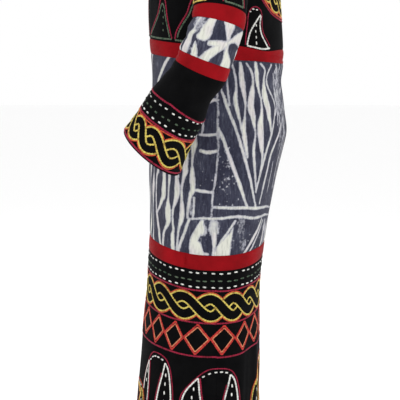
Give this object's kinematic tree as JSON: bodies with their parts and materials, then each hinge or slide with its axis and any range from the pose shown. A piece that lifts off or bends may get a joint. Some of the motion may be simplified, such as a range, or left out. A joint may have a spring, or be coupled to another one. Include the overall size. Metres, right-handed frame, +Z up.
{
  "type": "ndop dress",
  "caption": "Long-sleeved, full-length ceremonial gown in worn shape, open and hollow: embroidered black velvet and indigo resist-dyed ndop cotton joined by plain red bands.",
  "frame": {"origin": "between the shoulders, in the middle of the neck opening and level with the inner ends of the shoulder seams, where the wearer carries the dress", "axes": "+Z up along the wearer, the wearer faces -Y, +X to the wearer's left"},
  "size_m": [0.7084, 0.3426, 1.3499],
  "materials": {
    "velvet": "black cotton velvet with a short soft nap, embroidered in chain stitch with magenta, orange, yellow and white thread",
    "red_satin": "plain red satin with a soft sheen",
    "ndop_cotton": "hand-woven cotton, resist-dyed indigo with off-white undyed strokes, matt",
    "white_thread": "off-white embroidery thread in chain stitch",
    "magenta_thread": "magenta embroidery thread in chain stitch",
    "orange_thread": "orange-red embroidery thread in chain stitch",
    "yellow_thread": "golden yellow embroidery thread in chain stitch",
    "green_thread": "dark grey-green embroidery thread in chain stitch"
  },
  "bodies": {
    "root": {"bodice_front": "velvet", "bodice_back": "velvet", "waist_band": "red_satin", "ndop_front": "ndop_cotton", "ndop_back": "ndop_cotton", "knee_band": "red_satin", "skirt_front": "velvet", "skirt_back": "velvet", "sleeve_upper_left": "velvet", "elbow_band_left": "red_satin", "sleeve_ndop_left": "ndop_cotton", "wrist_band_left": "red_satin", "cuff_left": "velvet", "sleeve_upper_right": "velvet", "elbow_band_right": "red_satin", "sleeve_ndop_right": "ndop_cotton", "wrist_band_right": "red_satin", "cuff_right": "velvet"}
  },
  "joints": []
}
